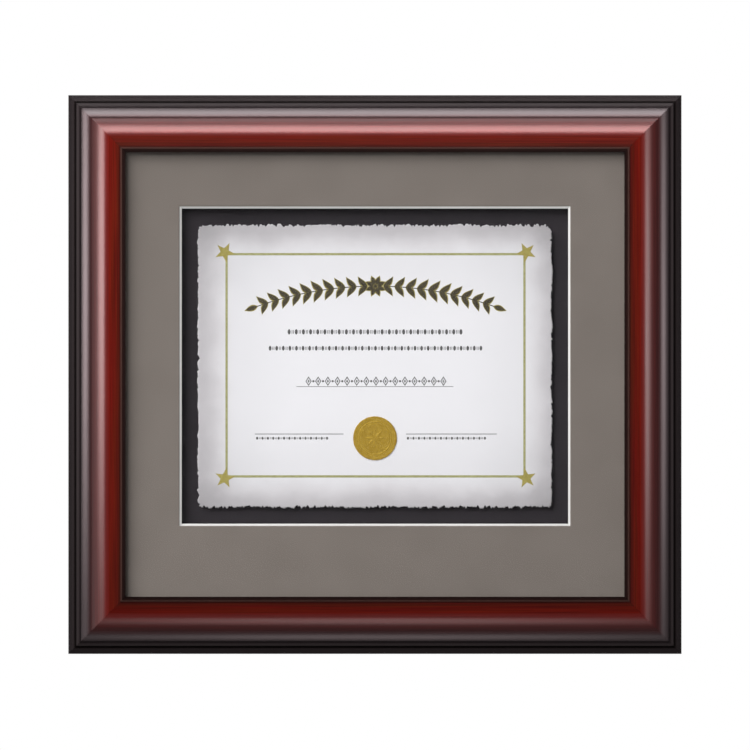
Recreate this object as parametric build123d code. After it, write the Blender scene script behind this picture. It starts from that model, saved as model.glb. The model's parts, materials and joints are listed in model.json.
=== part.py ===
from build123d import *

import os
from math import acos, asin, atan2, cos, pi, radians, sin, tan

# A wall-hung certificate frame: four mitred wood rails, glazing, a bevelled window mat, a certificate
# floated on a black board, and a back closed by turn buttons and hung by two rings.
# Millimetres. +Z is up, +X is to the right as seen from the front, and the front faces -Y.
# The wall is the plane Y = 0, so the origin is the middle of the frame on the wall.

# Certificate
CERTIFICATE_WIDTH = 254.0
CERTIFICATE_HEIGHT = 203.2
CERTIFICATE_THICKNESS = 0.4
CERTIFICATE_CORNER = 4.0
DECKLE_DEPTH = 1.2          # how far the torn edge wanders in from the full size
DECKLE_POINTS = 150         # points along the torn edge, enough for its shortest wave
SEAL_RADIUS = 15.6
SEAL_THICKNESS = 0.3
SEAL_RIM_WIDTH = 1.6
SEAL_RELIEF = 0.2           # how far the rim stands up
SEAL_RISE = 50.2            # seal's middle above the certificate's bottom edge
HINGE_WIDTH = 30.0
HINGE_HEIGHT = 18.0
HINGE_THICKNESS = 0.15
HINGE_SPACING = 130.0

# Boards behind the glazing, from front to back
GLAZING_THICKNESS = 2.0
MAT_FACING_THICKNESS = 0.4
MAT_CORE_THICKNESS = 1.5
SPACER_THICKNESS = 5.0
FLOAT_BOARD_THICKNESS = 1.5
FILLER_THICKNESS = 3.2
BACKING_THICKNESS = 3.0
FLOAT_MARGIN = 12.7         # bare float board seen around the certificate
MAT_MARGIN = 44.45          # mat above and beside its window
MAT_BOTTOM_EXTRA = 12.0     # the mat is this much wider below its window
SPACER_WIDTH = 28.0
RISER_THICKNESS = 2.5       # foam pad that lifts the certificate off the float board
RISER_INSET = 18.0          # pad's edge inside the certificate's edge

# Moulding, from its outer edge to its sight edge
MOULDING_WIDTH = 40.7
LEDGE_WIDTH = 4.4
LEDGE_RISE = 1.4            # ledge above the groove
LEDGE_FALL = 1.8            # the ledge falls this much towards its outer edge
LEDGE_CROWN = 0.3
LEDGE_ROUND = 0.8
GROOVE_WIDTH = 1.2
GROOVE_DEPTH = 2.6          # groove below the fillet
FILLET_WIDTH = 1.9
FILLET_ROUND = 0.4
COVE_WIDTH = 2.0
COVE_HEIGHT = 2.4
COVE_HOLLOW = 0.5
BEAD_RADIUS = 12.0
BEAD_OUTER_REACH = 3.7      # from the bead's crest out to the cove
BEAD_INNER_REACH = 2.1      # from the bead's crest in to the quirk
QUIRK_WIDTH = 1.4           # slope from the bead down to the valley
QUIRK_DROP = 0.6
TORUS_RADIUS = 16.0
TORUS_REACH = 8.5           # from the valley to the torus's crest
SHOULDER_RADIUS = 9.0
SLOPE_ANGLE = 26.0          # degrees, from the torus down to the lip
LIP_BEAD_WIDTH = 1.5
LIP_BEAD_CROWN = 0.65
LIP_BEVEL_WIDTH = 2.4
LIP_BEVEL_RISE = 3.4
SIGHT_EDGE = 1.2            # flat edge of the lip beside the glazing
LIP_OVERLAP = 6.35          # lip over the boards' edge
PACK_CLEARANCE = 1.5        # around the boards in the rabbet
PACK_SLACK = 0.2            # behind the boards, to the rails' back faces

# Corner nails
NAIL_WING = 5.0
NAIL_THICKNESS = 0.5
NAIL_DEPTH = 10.0
NAIL_PLACES = (10.0, 23.0)  # along both rails, from the outer corner

# Screws
SCREW_RADIUS = 1.7
SHANK_SIDES = 6             # of the shank's section, drawn as a polygon inside the wood
SCREW_LENGTH = 12.0
SCREW_HEAD_RADIUS = 3.3
SCREW_HEAD_HEIGHT = 2.0
RECESS_LENGTH = 4.0
RECESS_WIDTH = 0.8
RECESS_DEPTH = 1.1

# Turn buttons
BUTTON_THICKNESS = 1.2
BUTTON_PIVOT_RADIUS = 5.5
BUTTON_TIP_RADIUS = 4.0
BUTTON_REACH = 24.0         # from the pivot to the middle of the tip's round
BUTTON_BEND = 17.0          # from the pivot to where the tip bends up
BUTTON_BEND_ANGLE = 9.0     # degrees
BUTTON_SETBACK = 10.0       # from the rabbet wall out to the pivot
BUTTON_SPACING = 220.0      # between the two buttons of the top or bottom rail
BUTTON_SIDE_HEIGHT = -25.0  # of the side rails' buttons, from the frame's middle
TURN_CLEARANCE = 0.1        # under a turn button and under its screw's head
RUNNING_CLEARANCE = 0.08    # around a turn button's screw

# Ring hangers
STRAP_WIDTH = 12.0
STRAP_LENGTH = 25.0         # from the ring's bar down to the rounded end
STRAP_SHEET = 0.8
STRAP_END_ROUND = 4.5
STRAP_CREASE = 4.6          # from the ring's bar to where the two leaves meet
STRAP_SCREWS = (8.1, 18.5)  # below the ring's bar
WIRE_RADIUS = 1.25
WIRE_CLEARANCE = 0.1
WIRE_SIDES = 6              # of the wire's section, drawn as a polygon
RING_RADIUS = 9.5           # of the wire's middle line, round the top
RING_BEND = 2.5
RING_SIDE = 1.0
HANGER_DROP = 133.0         # from the frame's top edge to the ring's bar

# Wall bumpers
BUMPER_RADIUS = 6.0
BUMPER_HEIGHT = 5.0
BUMPER_BEVEL = 1.2
BUMPER_INSET = 42.0         # from the frame's side edge

# Sizes that follow from those above
WINDOW_WIDTH = CERTIFICATE_WIDTH + 2 * FLOAT_MARGIN
WINDOW_HEIGHT = CERTIFICATE_HEIGHT + 2 * FLOAT_MARGIN
PACK_WIDTH = WINDOW_WIDTH + 2 * MAT_MARGIN
PACK_HEIGHT = WINDOW_HEIGHT + 2 * MAT_MARGIN + MAT_BOTTOM_EXTRA
WINDOW_Z = MAT_BOTTOM_EXTRA / 2
RABBET_WIDTH = LIP_OVERLAP + PACK_CLEARANCE
FRAME_WIDTH = PACK_WIDTH - 2 * LIP_OVERLAP + 2 * MOULDING_WIDTH
FRAME_HEIGHT = PACK_HEIGHT - 2 * LIP_OVERLAP + 2 * MOULDING_WIDTH
BACK_Y = -BUMPER_HEIGHT
BACK_FACE_WIDTH = MOULDING_WIDTH - RABBET_WIDTH
LOOP_INNER = WIRE_RADIUS + WIRE_CLEARANCE
LOOP_OUTER = LOOP_INNER + STRAP_SHEET

# Each board's front face, counted forward from the rails' back faces
BACKING_FRONT = PACK_SLACK + BACKING_THICKNESS
FILLER_FRONT = BACKING_FRONT + FILLER_THICKNESS
FLOAT_FRONT = FILLER_FRONT + FLOAT_BOARD_THICKNESS
SPACER_FRONT = FLOAT_FRONT + SPACER_THICKNESS
CORE_FRONT = SPACER_FRONT + MAT_CORE_THICKNESS
FACING_FRONT = CORE_FRONT + MAT_FACING_THICKNESS
RABBET_DEPTH = FACING_FRONT + GLAZING_THICKNESS
RISER_FRONT = FLOAT_FRONT + RISER_THICKNESS
HINGE_FRONT = RISER_FRONT + HINGE_THICKNESS
CERTIFICATE_FRONT = HINGE_FRONT + CERTIFICATE_THICKNESS

# Where the hardware sits on the rails' back faces: (x, z) and the way that each turn button points
BUTTON_X = FRAME_WIDTH / 2 - BACK_FACE_WIDTH + BUTTON_SETBACK
BUTTON_Z = FRAME_HEIGHT / 2 - BACK_FACE_WIDTH + BUTTON_SETBACK
BUTTON_PLACES = {
    "turn_button_top_left": (-BUTTON_SPACING / 2, BUTTON_Z, (0, 0, -1)),
    "turn_button_top_right": (BUTTON_SPACING / 2, BUTTON_Z, (0, 0, -1)),
    "turn_button_bottom_left": (-BUTTON_SPACING / 2, -BUTTON_Z, (0, 0, 1)),
    "turn_button_bottom_right": (BUTTON_SPACING / 2, -BUTTON_Z, (0, 0, 1)),
    "turn_button_left": (-BUTTON_X, BUTTON_SIDE_HEIGHT, (1, 0, 0)),
    "turn_button_right": (BUTTON_X, BUTTON_SIDE_HEIGHT, (-1, 0, 0)),
}
HANGER_X = FRAME_WIDTH / 2 - BACK_FACE_WIDTH / 2
HANGER_Z = FRAME_HEIGHT / 2 - HANGER_DROP
HANGER_SIDES = {"left": -HANGER_X, "right": HANGER_X}
BUMPER_X = FRAME_WIDTH / 2 - BUMPER_INSET
BUMPER_Z = -FRAME_HEIGHT / 2 + BACK_FACE_WIDTH / 2
BUMPER_SIDES = {"left": -BUMPER_X, "right": BUMPER_X}


def on_back(x, z, arm=(1, 0, 0)):
    """Plane on the rails' back faces: its x runs along arm and its z points to the wall."""
    return Plane(origin=(x, BACK_Y, z), x_dir=arm, z_dir=(0, 1, 0))


def board(width, height, thickness, front, x=0.0, z=0.0):
    """Flat sheet whose front face lies that far forward of the rails' back faces."""
    return Pos(x, BACK_Y - front + thickness / 2, z) * Box(width, thickness, height)


def arc_point(centre, radius, tilt):
    """Point of a round of the moulding where its surface leans tilt radians towards the sight edge."""
    return (centre[0] + radius * sin(tilt), centre[1] + radius * cos(tilt))


def round_arc(centre, radius, start, end):
    """Arc of a round of the moulding, from one lean to another."""
    tilts = (start, (start + end) / 2, end)
    return ThreePointArc(*[arc_point(centre, radius, tilt) for tilt in tilts])


def moulding_profile():
    """Section of the moulding: x from the outer edge to the sight edge, y forward from the back."""
    groove_outer = LEDGE_WIDTH
    fillet_outer = groove_outer + GROOVE_WIDTH
    cove_outer = fillet_outer + FILLET_WIDTH
    bead_outer = cove_outer + COVE_WIDTH
    bead_crest = bead_outer + BEAD_OUTER_REACH
    bead_inner = bead_crest + BEAD_INNER_REACH
    valley = bead_inner + QUIRK_WIDTH
    torus_crest = valley + TORUS_REACH
    slope = radians(SLOPE_ANGLE)
    slope_outer = torus_crest + SHOULDER_RADIUS * sin(slope)
    lip_bead_inner = MOULDING_WIDTH - LIP_BEVEL_WIDTH
    lip_bead_outer = lip_bead_inner - LIP_BEAD_WIDTH

    sight_front = RABBET_DEPTH + SIGHT_EDGE
    lip_front = sight_front + LIP_BEVEL_RISE
    slope_front = lip_front + (lip_bead_outer - slope_outer) * tan(slope)
    torus_front = slope_front + SHOULDER_RADIUS * (1 - cos(slope))
    valley_lean = asin(TORUS_REACH / TORUS_RADIUS)
    valley_front = torus_front - TORUS_RADIUS * (1 - cos(valley_lean))
    bead_inner_lean = asin(BEAD_INNER_REACH / BEAD_RADIUS)
    bead_outer_lean = asin(BEAD_OUTER_REACH / BEAD_RADIUS)
    bead_inner_front = valley_front + QUIRK_DROP
    bead_front = bead_inner_front + BEAD_RADIUS * (1 - cos(bead_inner_lean))
    cove_front = bead_front - BEAD_RADIUS * (1 - cos(bead_outer_lean))
    fillet_front = cove_front - COVE_HEIGHT
    groove_front = fillet_front - GROOVE_DEPTH
    ledge_front = groove_front + LEDGE_RISE
    edge_front = ledge_front - LEDGE_FALL

    with BuildSketch() as section:
        with BuildLine():
            Polyline(
                (0, edge_front - LEDGE_ROUND),
                (0, 0),
                (BACK_FACE_WIDTH, 0),
                (BACK_FACE_WIDTH, RABBET_DEPTH),
                (MOULDING_WIDTH, RABBET_DEPTH),
                (MOULDING_WIDTH, sight_front),
                (lip_bead_inner, lip_front),
            )
            SagittaArc((lip_bead_inner, lip_front), (lip_bead_outer, lip_front), -LIP_BEAD_CROWN)
            Line((lip_bead_outer, lip_front), (slope_outer, slope_front))
            round_arc((torus_crest, torus_front - SHOULDER_RADIUS), SHOULDER_RADIUS, slope, 0)
            round_arc((torus_crest, torus_front - TORUS_RADIUS), TORUS_RADIUS, 0, -valley_lean)
            Line((valley, valley_front), (bead_inner, bead_inner_front))
            round_arc((bead_crest, bead_front - BEAD_RADIUS), BEAD_RADIUS, bead_inner_lean, -bead_outer_lean)
            SagittaArc((bead_outer, cove_front), (cove_outer, fillet_front), COVE_HOLLOW)
            Line((cove_outer, fillet_front), (fillet_outer + FILLET_ROUND, fillet_front))
            round_arc((fillet_outer + FILLET_ROUND, fillet_front - FILLET_ROUND), FILLET_ROUND, 0, -pi / 2)
            Polyline(
                (fillet_outer, fillet_front - FILLET_ROUND),
                (fillet_outer, groove_front),
                (groove_outer, groove_front),
                (groove_outer, ledge_front),
            )
            SagittaArc((groove_outer, ledge_front), (LEDGE_ROUND, edge_front), -LEDGE_CROWN)
            round_arc((LEDGE_ROUND, edge_front - LEDGE_ROUND), LEDGE_ROUND, 0, -pi / 2)
        make_face()
    return section.sketch, torus_front


def rail(profile, depth, length, half_span, turn):
    """Mitred rail: made along X at the bottom of the frame, then turned about Y to its own side."""
    section_plane = Plane(origin=(-length / 2, BACK_Y, -half_span), x_dir=(0, 0, 1), z_dir=(1, 0, 0))
    bar = extrude(section_plane * profile, amount=length)
    inner_half = length / 2 - MOULDING_WIDTH
    mitred = Polygon(
        (-length / 2, -half_span),
        (length / 2, -half_span),
        (inner_half, MOULDING_WIDTH - half_span),
        (-inner_half, MOULDING_WIDTH - half_span),
        align=None,
    )
    back = Plane(origin=(0, BACK_Y, 0), x_dir=(1, 0, 0), z_dir=(0, -1, 0))
    return Rot(0, turn, 0) * (bar & extrude(back * mitred, amount=depth))


def corner_nails():
    """Two L-shaped nails across each mitre, driven in flush with the rails' back faces."""
    wing = NAIL_WING + NAIL_THICKNESS / 2
    along = Pos(wing / 2 - NAIL_THICKNESS / 2, 0) * Rectangle(wing, NAIL_THICKNESS)
    across = Pos(0, wing / 2 - NAIL_THICKNESS / 2) * Rectangle(NAIL_THICKNESS, wing)
    nail = extrude(Plane.XZ * (along + across), amount=NAIL_DEPTH)
    nails = []
    for place in NAIL_PLACES:
        corner = (-FRAME_WIDTH / 2 + place, -FRAME_HEIGHT / 2 + place)
        lower_left = Pos(corner[0], BACK_Y, corner[1]) * nail
        lower_pair = [lower_left, mirror(lower_left, about=Plane.YZ)]
        nails += lower_pair + [mirror(one, about=Plane.XY) for one in lower_pair]
    return nails


def screw():
    """Cheese-head screw along Z, threads left plain: the head's underside is at 0 and the shank below it."""
    shank = extrude(RegularPolygon(SCREW_RADIUS, SHANK_SIDES), amount=-SCREW_LENGTH)
    head = Cylinder(SCREW_HEAD_RADIUS, SCREW_HEAD_HEIGHT, align=(Align.CENTER, Align.CENTER, Align.MIN))
    recess = Rectangle(RECESS_LENGTH, RECESS_WIDTH) + Rectangle(RECESS_WIDTH, RECESS_LENGTH)
    return shank + head - extrude(Pos(0, 0, SCREW_HEAD_HEIGHT) * recess, amount=-RECESS_DEPTH)


def turn_button():
    """Pressed-steel button: pivot at the origin, arm along X, tip bent up along Z for a finger."""
    lean = asin((BUTTON_PIVOT_RADIUS - BUTTON_TIP_RADIUS) / BUTTON_REACH)
    pivot_touch = arc_point((0, 0), BUTTON_PIVOT_RADIUS, lean)
    tip_touch = arc_point((BUTTON_REACH, 0), BUTTON_TIP_RADIUS, lean)
    with BuildSketch() as outline:
        with BuildLine():
            edge = Line(pivot_touch, tip_touch)
            mirror(edge, about=Plane.XZ)
            ThreePointArc(pivot_touch, (-BUTTON_PIVOT_RADIUS, 0), (pivot_touch[0], -pivot_touch[1]))
            ThreePointArc(tip_touch, (BUTTON_REACH + BUTTON_TIP_RADIUS, 0), (tip_touch[0], -tip_touch[1]))
        make_face()
    blank = extrude(outline.sketch, amount=BUTTON_REACH)

    tail = -2 * BUTTON_PIVOT_RADIUS
    end = BUTTON_REACH + 2 * BUTTON_TIP_RADIUS
    rise = (end - BUTTON_BEND) * tan(radians(BUTTON_BEND_ANGLE))
    under = [(tail, 0), (BUTTON_BEND, 0), (end, rise)]
    over = [(x, z + BUTTON_THICKNESS) for x, z in under]
    with BuildSketch(Plane.XZ) as side:
        with BuildLine():
            Polyline(*under, *reversed(over), close=True)
        make_face()
    strip = extrude(side.sketch, amount=2 * BUTTON_PIVOT_RADIUS, both=True)
    return (blank & strip) - Cylinder(SCREW_RADIUS + RUNNING_CLEARANCE, 4 * BUTTON_THICKNESS)


def loop_touch(radius, height):
    """Where a straight leaf that leaves the crease at that height runs onto a round about the ring's bar."""
    away = Vector(-STRAP_CREASE, height - LOOP_OUTER)
    turn = atan2(away.Y, away.X) - acos(radius / away.length)
    return (radius * cos(turn), LOOP_OUTER + radius * sin(turn))


def hanger_strap():
    """Folded steel strap: x along the ring's bar, y up the wall, z out of the back, bar above the origin."""
    fold = 2 * STRAP_SHEET
    with BuildSketch(Plane.YZ) as side:
        with BuildLine():
            top_touch = loop_touch(LOOP_OUTER, fold)
            ThreePointArc((0, 0), (LOOP_OUTER, LOOP_OUTER), top_touch)
            Polyline(top_touch, (-STRAP_CREASE, fold), (-STRAP_LENGTH, fold), (-STRAP_LENGTH, 0), (0, 0))
        make_face()
        with BuildLine():
            eye_touch = loop_touch(LOOP_INNER, STRAP_SHEET)
            ThreePointArc((0, STRAP_SHEET), (LOOP_INNER, LOOP_OUTER), eye_touch)
            Polyline(eye_touch, (-STRAP_CREASE, STRAP_SHEET), (0, STRAP_SHEET))
        make_face(mode=Mode.SUBTRACT)
    folded = extrude(side.sketch, amount=STRAP_WIDTH / 2, both=True)
    end_corners = folded.edges().filter_by(Axis.Z).group_by(Axis.Y)[0]
    folded = fillet(end_corners, STRAP_END_ROUND)
    return folded - [Pos(0, -below, 0) * Cylinder(SCREW_RADIUS, 4 * fold) for below in STRAP_SCREWS]


def hanger_ring():
    """Closed wire D, in the strap's own frame: straight bar through the strap's loop, round above it."""
    half_bar = RING_RADIUS - RING_BEND
    with BuildPart() as made:
        with BuildLine(Plane.XY.offset(LOOP_OUTER)) as path:
            bar = Line((-half_bar, 0), (half_bar, 0))
            right_bend = JernArc(bar @ 1, bar % 1, RING_BEND, 90)
            right_side = Line(right_bend @ 1, right_bend @ 1 + (0, RING_SIDE))
            top = JernArc(right_side @ 1, right_side % 1, RING_RADIUS, 180)
            left_side = Line(top @ 1, top @ 1 - (0, RING_SIDE))
            JernArc(left_side @ 1, left_side % 1, RING_BEND, 90)
        with BuildSketch(Plane(origin=path.line @ 0, z_dir=path.line % 0)):
            RegularPolygon(WIRE_RADIUS, WIRE_SIDES)
        sweep(path=path.line)
    return made.part


def mat_window():
    """Bevelled opening of the mat, full size at its front and narrower by its thickness at the back."""
    thickness = MAT_FACING_THICKNESS + MAT_CORE_THICKNESS
    front = Plane(origin=(0, BACK_Y - FACING_FRONT, WINDOW_Z), x_dir=(1, 0, 0), z_dir=(0, 1, 0))
    return extrude(front * Rectangle(WINDOW_WIDTH, WINDOW_HEIGHT), amount=thickness, taper=45)


def spacers():
    """Foam strips that hold the mat off the float board, back from its window."""
    side_height = PACK_HEIGHT - 2 * SPACER_WIDTH
    x = (PACK_WIDTH - SPACER_WIDTH) / 2
    z = (PACK_HEIGHT - SPACER_WIDTH) / 2
    return {
        "spacer_top": board(PACK_WIDTH, SPACER_WIDTH, SPACER_THICKNESS, SPACER_FRONT, z=z),
        "spacer_bottom": board(PACK_WIDTH, SPACER_WIDTH, SPACER_THICKNESS, SPACER_FRONT, z=-z),
        "spacer_left": board(SPACER_WIDTH, side_height, SPACER_THICKNESS, SPACER_FRONT, x=-x),
        "spacer_right": board(SPACER_WIDTH, side_height, SPACER_THICKNESS, SPACER_FRONT, x=x),
    }


def deckle_wander(share):
    """How far the torn edge lies inside the full size, at a share of the way round the sheet."""
    turn = 2 * pi * share
    waves = 0.40 * sin(13 * turn + 0.4) + 0.35 * sin(22 * turn + 2.1) + 0.25 * sin(37 * turn + 1.2)
    return DECKLE_DEPTH * (1 + waves) / 2


def certificate():
    """Handmade-paper sheet with rounded corners and a torn edge all round."""
    full = RectangleRounded(CERTIFICATE_WIDTH, CERTIFICATE_HEIGHT, CERTIFICATE_CORNER).wire()
    points = []
    for step in range(DECKLE_POINTS):
        share = step / DECKLE_POINTS
        along = full % share
        inward = Vector(-along.Y, along.X)
        points.append(full @ share + inward * deckle_wander(share))
    torn = make_face(Polyline(*points, close=True))
    front = Plane(origin=(0, BACK_Y - CERTIFICATE_FRONT, WINDOW_Z), x_dir=(-1, 0, 0), z_dir=(0, 1, 0))
    return extrude(front * torn, amount=CERTIFICATE_THICKNESS)


def seal():
    """Embossed foil seal: a disc with a raised rim."""
    disc = Cylinder(SEAL_RADIUS, SEAL_THICKNESS, align=(Align.CENTER, Align.CENTER, Align.MIN))
    rim = Circle(SEAL_RADIUS) - Circle(SEAL_RADIUS - SEAL_RIM_WIDTH)
    relief = extrude(Pos(0, 0, SEAL_THICKNESS) * rim, amount=SEAL_RELIEF)
    z = WINDOW_Z - CERTIFICATE_HEIGHT / 2 + SEAL_RISE
    face = Plane(origin=(0, BACK_Y - CERTIFICATE_FRONT, z), x_dir=(1, 0, 0), z_dir=(0, -1, 0))
    return face * (disc + relief)


def certificate_hinges():
    """Two paper tabs that hang the certificate from its riser, near the sheet's top edge."""
    riser_top = CERTIFICATE_HEIGHT / 2 - RISER_INSET
    z = WINDOW_Z + riser_top - HINGE_HEIGHT / 2
    return [
        board(HINGE_WIDTH, HINGE_HEIGHT, HINGE_THICKNESS, HINGE_FRONT, x=side * HINGE_SPACING / 2, z=z)
        for side in (-1, 1)
    ]


def bumper():
    """Rubber bumper along Z, bevelled where it meets the wall."""
    disc = Cylinder(BUMPER_RADIUS, BUMPER_HEIGHT, align=(Align.CENTER, Align.CENTER, Align.MIN))
    return chamfer(disc.edges().sort_by(Axis.Z)[-1], BUMPER_BEVEL)


def frame_rails(fasteners):
    """The four rails, cut for the nails and screws that are driven into them."""
    profile, depth = moulding_profile()
    sides = {
        "bottom_rail": (FRAME_WIDTH, FRAME_HEIGHT / 2, 0),
        "left_rail": (FRAME_HEIGHT, FRAME_WIDTH / 2, 90),
        "top_rail": (FRAME_WIDTH, FRAME_HEIGHT / 2, 180),
        "right_rail": (FRAME_HEIGHT, FRAME_WIDTH / 2, 270),
    }
    return {name: rail(profile, depth, *side) - fasteners for name, side in sides.items()}


def boards():
    """Glazing, mat, mount and backing boards, all cut to one size for the rabbet."""
    window = mat_window()
    riser_width = CERTIFICATE_WIDTH - 2 * RISER_INSET
    riser_height = CERTIFICATE_HEIGHT - 2 * RISER_INSET
    return {
        "glazing": board(PACK_WIDTH, PACK_HEIGHT, GLAZING_THICKNESS, RABBET_DEPTH),
        "mat_facing": board(PACK_WIDTH, PACK_HEIGHT, MAT_FACING_THICKNESS, FACING_FRONT) - window,
        "mat_core": board(PACK_WIDTH, PACK_HEIGHT, MAT_CORE_THICKNESS, CORE_FRONT) - window,
        "float_board": board(PACK_WIDTH, PACK_HEIGHT, FLOAT_BOARD_THICKNESS, FLOAT_FRONT),
        "certificate_riser": board(riser_width, riser_height, RISER_THICKNESS, RISER_FRONT, z=WINDOW_Z),
        "filler_board": board(PACK_WIDTH, PACK_HEIGHT, FILLER_THICKNESS, FILLER_FRONT),
        "backing_board": board(PACK_WIDTH, PACK_HEIGHT, BACKING_THICKNESS, BACKING_FRONT),
    }


def build():
    """Every sub-part by its node's name."""
    one_screw = screw()
    button_seat = Pos(0, 0, 2 * TURN_CLEARANCE + BUTTON_THICKNESS)
    button_planes = {name: on_back(*place) for name, place in BUTTON_PLACES.items()}
    button_screws = [plane * button_seat * one_screw for plane in button_planes.values()]
    hanger_planes = {side: on_back(x, HANGER_Z, (-1, 0, 0)) for side, x in HANGER_SIDES.items()}
    hanger_screws = [
        plane * Pos(0, -below, 2 * STRAP_SHEET) * one_screw
        for plane in hanger_planes.values()
        for below in STRAP_SCREWS
    ]
    nails = corner_nails()

    parts = frame_rails(nails + button_screws + hanger_screws)
    parts.update(boards())
    parts.update(spacers())
    parts["certificate"] = certificate()
    parts["certificate_hinges"] = Compound(certificate_hinges())
    parts["gold_seal"] = seal()
    parts["corner_nails"] = Compound(nails)
    parts["turn_button_screws"] = Compound(button_screws)
    parts["hanger_screws"] = Compound(hanger_screws)

    button = Pos(0, 0, TURN_CLEARANCE) * turn_button()
    for name, plane in button_planes.items():
        parts[name] = plane * button
    for side, plane in hanger_planes.items():
        parts["hanger_strap_" + side] = plane * hanger_strap()
        parts["hanger_ring_" + side] = plane * hanger_ring()
    for side, x in BUMPER_SIDES.items():
        parts["bumper_" + side] = on_back(x, BUMPER_Z) * bumper()
    return parts


os.makedirs("parts", exist_ok=True)
for node, shape in build().items():
    export_step(shape, f"parts/{node}.step")
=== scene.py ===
import json
import random
from math import asin, atan2, cos, degrees, hypot, pi, radians, sin, sqrt, tan

import bmesh
import bpy
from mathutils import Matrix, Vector


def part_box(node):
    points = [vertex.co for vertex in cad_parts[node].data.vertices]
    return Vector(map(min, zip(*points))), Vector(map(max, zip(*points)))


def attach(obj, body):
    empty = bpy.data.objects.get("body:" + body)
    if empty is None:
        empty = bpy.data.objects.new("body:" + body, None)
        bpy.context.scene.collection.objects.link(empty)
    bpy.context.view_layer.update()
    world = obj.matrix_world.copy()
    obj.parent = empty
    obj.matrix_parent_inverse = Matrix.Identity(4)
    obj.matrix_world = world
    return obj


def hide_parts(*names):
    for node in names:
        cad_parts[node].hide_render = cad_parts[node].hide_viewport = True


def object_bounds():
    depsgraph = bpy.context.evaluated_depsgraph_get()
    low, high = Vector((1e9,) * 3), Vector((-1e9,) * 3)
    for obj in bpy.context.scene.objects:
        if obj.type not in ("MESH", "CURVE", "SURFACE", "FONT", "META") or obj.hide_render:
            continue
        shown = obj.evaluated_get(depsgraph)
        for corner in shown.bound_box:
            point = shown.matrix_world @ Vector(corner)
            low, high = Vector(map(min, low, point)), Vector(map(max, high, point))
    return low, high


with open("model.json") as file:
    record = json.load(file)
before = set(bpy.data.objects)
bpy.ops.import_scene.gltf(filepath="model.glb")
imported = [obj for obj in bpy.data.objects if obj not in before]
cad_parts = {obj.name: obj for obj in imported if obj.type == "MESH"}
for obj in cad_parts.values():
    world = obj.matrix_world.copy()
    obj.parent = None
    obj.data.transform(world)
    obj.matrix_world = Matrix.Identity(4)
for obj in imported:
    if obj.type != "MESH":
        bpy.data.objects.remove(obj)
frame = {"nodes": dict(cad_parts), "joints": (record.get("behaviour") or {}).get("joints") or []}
cad_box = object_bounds()
nodes = frame["nodes"]
random.seed(7)

# Sizes in mm, under the names of the part's source where it has them, and places that the frame gives

MM = 0.001


def mm(metres):
    return round(metres / MM, 3)


FRAME_WIDTH = mm(cad_box[1][0] - cad_box[0][0])
FRAME_HEIGHT = mm(cad_box[1][2] - cad_box[0][2])
PIVOTS = {joint["child"]: [mm(v) for v in joint["pos_m"]] for joint in frame["joints"]}
BACK_Y = PIVOTS["turn_button_left"][1]  # the rails' back faces

CERTIFICATE_WIDTH = 254.0
CERTIFICATE_HEIGHT = 203.2
CERTIFICATE_THICKNESS = 0.4
CERTIFICATE_CORNERS = {(1, 1): 7.5, (1, -1): 4.5, (-1, -1): 4.5, (-1, 1): 6.0}  # clockwise from top right
SHEET_FRONT = mm(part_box("certificate")[0].y)
WINDOW_Z = 6.0  # middle of the mat's window above the frame's middle
SEAL_RADIUS = 15.6
SEAL_RISE = 50.2  # seal's middle above the certificate's bottom edge

MOULDING_WIDTH = 40.7
BACK_FACE_WIDTH = 32.85
RABBET_DEPTH = 16.8
LEDGE_WIDTH = 4.4
LEDGE_RISE = 1.4
LEDGE_FALL = 1.8
LEDGE_CROWN = 0.3
LEDGE_ROUND = 0.8
GROOVE_WIDTH = 1.2
GROOVE_DEPTH = 2.6
FILLET_WIDTH = 1.9
FILLET_ROUND = 0.4
COVE_WIDTH = 2.0
COVE_HEIGHT = 2.4
COVE_HOLLOW = 0.5
BEAD_RADIUS = 12.0
BEAD_OUTER_REACH = 3.7
BEAD_INNER_REACH = 2.1
QUIRK_WIDTH = 1.4
QUIRK_DROP = 0.6
TORUS_RADIUS = 16.0
TORUS_REACH = 8.5
SHOULDER_RADIUS = 9.0
SLOPE_ANGLE = 26.0
LIP_BEAD_WIDTH = 1.5
LIP_BEAD_CROWN = 0.65
LIP_BEVEL_WIDTH = 2.4
LIP_BEVEL_RISE = 3.4
SIGHT_EDGE = 1.2
MITRE_GAP = 0.045  # from each rail's end to the mitre's middle
BACK_GAP = 0.05  # between the rails' backs and the hardware on them
GLUE_INSET = 0.3  # glue below the moulding's faces
GLUE_THICKNESS = 0.03

WIRE_RADIUS = 1.25
RING_RADIUS = 9.5
RING_BEND = 2.5
RING_SIDE = 1.0

# The photograph: its size in pixels, mm to a pixel, and the pixel at the frame's middle

IMAGE_SIZE = 750
PIXEL = 0.7127
MIDDLE_PIXEL = (374.93, 374.54)


def pixel(px, py):
    """Place on the object, in mm, of a pixel of the photograph."""
    return (px - MIDDLE_PIXEL[0]) * PIXEL, (MIDDLE_PIXEL[1] - py) * PIXEL


# Shader helpers

def material(name, colour, roughness, metallic=0.0, specular=0.5):
    made = bpy.data.materials.new(name)
    made.use_nodes = True
    shader = made.node_tree.nodes["Principled BSDF"]
    given = {"Roughness": roughness, "Metallic": metallic, "Specular IOR Level": specular}
    for key, value in {"Base Color": (*colour, 1), **given}.items():
        shader.inputs[key].default_value = value
    return made, shader


def put(made, socket, value):
    if isinstance(value, bpy.types.NodeSocket):
        made.node_tree.links.new(value, socket)
    else:
        socket.default_value = value


def add(made, kind, inputs=None, **settings):
    one = made.node_tree.nodes.new("ShaderNode" + kind)
    for key, value in settings.items():
        setattr(one, key, value)
    for key, value in (inputs or {}).items():
        put(made, one.inputs[key], value)
    return one


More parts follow.
